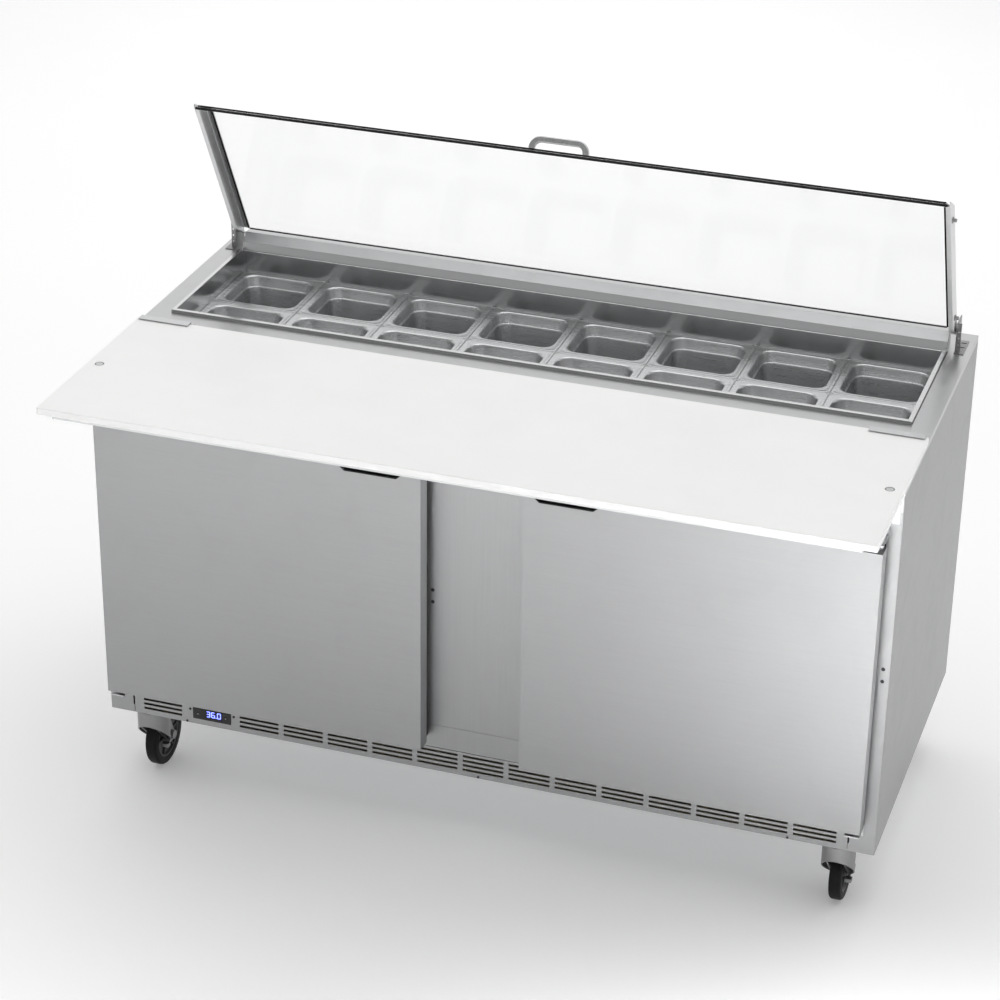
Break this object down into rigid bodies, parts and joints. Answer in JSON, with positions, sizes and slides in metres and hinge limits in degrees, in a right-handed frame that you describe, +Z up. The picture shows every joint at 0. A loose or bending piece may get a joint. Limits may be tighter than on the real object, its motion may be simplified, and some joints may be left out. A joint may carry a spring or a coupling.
{
  "type": "sandwich prep table",
  "caption": "Refrigerated sandwich prep table on casters: stainless cabinet with hinged doors, a pan well under a clear tilting lid, and a cutting board that overhangs the front.",
  "frame": {"origin": "on the floor below the middle of the table's footprint", "axes": "+X to the operator's right along the table, +Y from the cutting board to the rear, +Z up"},
  "size_m": [1.524, 0.92, 1.286],
  "materials": {
    "stainless_sheet": "satin",
    "black_plastic": "matte",
    "insulation_foam": "matte",
    "aluminium_liner": "satin",
    "coated_wire": "satin",
    "coil_aluminium": "matte",
    "compressor_black": "satin",
    "zinc_steel": "satin",
    "clear_pane": "gloss",
    "bright_steel": "satin",
    "dark_rubber": "matte",
    "door_core": "satin",
    "white_polyethylene": "matte",
    "pan_steel": "satin",
    "wheel_rubber": "satin",
    "fan_plastic": "matte"
  },
  "bodies": {
    "cabinet": {"side_panels": "stainless_sheet", "back_panel": "stainless_sheet", "base_pan": "stainless_sheet", "top_deck": "stainless_sheet", "front_frame": "stainless_sheet", "frame_plugs": "black_plastic", "kick_grille": "stainless_sheet", "thermostat": "black_plastic", "foam_insulation": "insulation_foam", "cabinet_liner": "aluminium_liner", "food_well": "stainless_sheet", "adapter_bars": "stainless_sheet", "lid_riser": "stainless_sheet", "lid_hinge_brackets": "stainless_sheet", "door_hinges": "stainless_sheet", "board_supports": "stainless_sheet", "board_clips": "stainless_sheet", "wire_shelves": "coated_wire", "shelf_rails": "stainless_sheet", "evaporator_coil": "coil_aluminium", "compressor": "compressor_black", "condenser_coil": "coil_aluminium", "cord_inlet": "black_plastic", "caster_mounts": "zinc_steel"},
    "lid": {"lid_pane": "clear_pane", "lid_side_channels": "bright_steel", "lid_gasket": "dark_rubber", "lid_handle": "bright_steel", "lid_hardware": "bright_steel"},
    "door_left": {"door_left_skin": "stainless_sheet", "door_left_core": "door_core", "door_left_gasket": "dark_rubber", "door_left_grip": "black_plastic"},
    "door_right": {"door_right_skin": "stainless_sheet", "door_right_core": "door_core", "door_right_gasket": "dark_rubber", "door_right_grip": "black_plastic"},
    "cutting_board": {"cutting_board": "white_polyethylene"},
    "food_pans_column_1": {"food_pans_column_1": "pan_steel"},
    "food_pans_column_2": {"food_pans_column_2": "pan_steel"},
    "food_pans_column_3": {"food_pans_column_3": "pan_steel"},
    "food_pans_column_4": {"food_pans_column_4": "pan_steel"},
    "food_pans_column_5": {"food_pans_column_5": "pan_steel"},
    "food_pans_column_6": {"food_pans_column_6": "pan_steel"},
    "food_pans_column_7": {"food_pans_column_7": "pan_steel"},
    "food_pans_column_8": {"food_pans_column_8": "pan_steel"},
    "fork_front_left": {"caster_fork_front_left": "zinc_steel"},
    "wheel_front_left": {"caster_wheel_front_left": "wheel_rubber"},
    "fork_front_right": {"caster_fork_front_right": "zinc_steel"},
    "wheel_front_right": {"caster_wheel_front_right": "wheel_rubber"},
    "fork_rear_left": {"caster_fork_rear_left": "zinc_steel"},
    "wheel_rear_left": {"caster_wheel_rear_left": "wheel_rubber"},
    "fork_rear_right": {"caster_fork_rear_right": "zinc_steel"},
    "wheel_rear_right": {"caster_wheel_rear_right": "wheel_rubber"},
    "brake_front_left": {"caster_brake_front_left": "zinc_steel"},
    "brake_front_right": {"caster_brake_front_right": "zinc_steel"},
    "evaporator_fan": {"evaporator_fan": "fan_plastic"},
    "condenser_fan": {"condenser_fan": "fan_plastic"},
    "button_left": {"thermostat_button_left": "black_plastic"},
    "button_right": {"thermostat_button_right": "black_plastic"}
  },
  "joints": [
    {"name": "lid_hinge", "type": "hinge", "parent": "cabinet", "child": "lid", "pos_m": [0, 0.392, 0.9324], "axis": [-1, 0, 0], "range_deg": [-62, 28]},
    {"name": "door_left_hinge", "type": "hinge", "parent": "cabinet", "child": "door_left", "pos_m": [-0.731, -0.2635, 0.51], "axis": [0, 0, -1], "range_deg": [0, 115]},
    {"name": "door_right_hinge", "type": "hinge", "parent": "cabinet", "child": "door_right", "pos_m": [0.731, -0.2635, 0.51], "axis": [0, 0, 1], "range_deg": [0, 115]},
    {"name": "board_tilt", "type": "hinge", "parent": "cabinet", "child": "cutting_board", "pos_m": [0, -0.0282, 0.8932], "axis": [-1, 0, 0], "range_deg": [0, 4.5]},
    {"name": "pan_column_1_lift", "type": "slide", "parent": "cabinet", "child": "food_pans_column_1", "axis": [0, 0, 1], "range_m": [0, 0.13]},
    {"name": "pan_column_2_lift", "type": "slide", "parent": "cabinet", "child": "food_pans_column_2", "axis": [0, 0, 1], "range_m": [0, 0.13]},
    {"name": "pan_column_3_lift", "type": "slide", "parent": "cabinet", "child": "food_pans_column_3", "axis": [0, 0, 1], "range_m": [0, 0.13]},
    {"name": "pan_column_4_lift", "type": "slide", "parent": "cabinet", "child": "food_pans_column_4", "axis": [0, 0, 1], "range_m": [0, 0.13]},
    {"name": "pan_column_5_lift", "type": "slide", "parent": "cabinet", "child": "food_pans_column_5", "axis": [0, 0, 1], "range_m": [0, 0.13]},
    {"name": "pan_column_6_lift", "type": "slide", "parent": "cabinet", "child": "food_pans_column_6", "axis": [0, 0, 1], "range_m": [0, 0.13]},
    {"name": "pan_column_7_lift", "type": "slide", "parent": "cabinet", "child": "food_pans_column_7", "axis": [0, 0, 1], "range_m": [0, 0.13]},
    {"name": "pan_column_8_lift", "type": "slide", "parent": "cabinet", "child": "food_pans_column_8", "axis": [0, 0, 1], "range_m": [0, 0.13]},
    {"name": "swivel_front_left", "type": "hinge", "parent": "cabinet", "child": "fork_front_left", "pos_m": [-0.6907, -0.1948, 0.145], "axis": [0, 0, 1], "continuous": true},
    {"name": "roll_front_left", "type": "hinge", "parent": "fork_front_left", "child": "wheel_front_left", "pos_m": [-0.6907, -0.1538, 0.0635], "axis": [1, 0, 0], "continuous": true},
    {"name": "swivel_front_right", "type": "hinge", "parent": "cabinet", "child": "fork_front_right", "pos_m": [0.6907, -0.1948, 0.145], "axis": [0, 0, 1], "continuous": true},
    {"name": "roll_front_right", "type": "hinge", "parent": "fork_front_right", "child": "wheel_front_right", "pos_m": [0.6907, -0.1538, 0.0635], "axis": [1, 0, 0], "continuous": true},
    {"name": "swivel_rear_left", "type": "hinge", "parent": "cabinet", "child": "fork_rear_left", "pos_m": [-0.6907, 0.4228, 0.145], "axis": [0, 0, 1], "continuous": true},
    {"name": "roll_rear_left", "type": "hinge", "parent": "fork_rear_left", "child": "wheel_rear_left", "pos_m": [-0.6907, 0.3818, 0.0635], "axis": [1, 0, 0], "continuous": true},
    {"name": "swivel_rear_right", "type": "hinge", "parent": "cabinet", "child": "fork_rear_right", "pos_m": [0.6907, 0.4228, 0.145], "axis": [0, 0, 1], "continuous": true},
    {"name": "roll_rear_right", "type": "hinge", "parent": "fork_rear_right", "child": "wheel_rear_right", "pos_m": [0.6907, 0.3818, 0.0635], "axis": [1, 0, 0], "continuous": true},
    {"name": "brake_front_left_pedal", "type": "hinge", "parent": "fork_front_left", "child": "brake_front_left", "pos_m": [-0.6907, -0.1538, 0.0635], "axis": [1, 0, 0], "range_deg": [0, 16]},
    {"name": "brake_front_right_pedal", "type": "hinge", "parent": "fork_front_right", "child": "brake_front_right", "pos_m": [0.6907, -0.1538, 0.0635], "axis": [1, 0, 0], "range_deg": [0, 16]},
    {"name": "evaporator_fan_spin", "type": "hinge", "parent": "cabinet", "child": "evaporator_fan", "pos_m": [0.36, 0.322, 0.64], "axis": [0, 1, 0], "continuous": true},
    {"name": "condenser_fan_spin", "type": "hinge", "parent": "cabinet", "child": "condenser_fan", "pos_m": [-0.03, 0.365, 0.262], "axis": [1, 0, 0], "continuous": true},
    {"name": "button_left_press", "type": "slide", "parent": "cabinet", "child": "button_left", "axis": [0, 1, 0], "range_m": [0, 0.0006], "stiffness_N_per_m": 400},
    {"name": "button_right_press", "type": "slide", "parent": "cabinet", "child": "button_right", "axis": [0, 1, 0], "range_m": [0, 0.0006], "stiffness_N_per_m": 400}
  ]
}
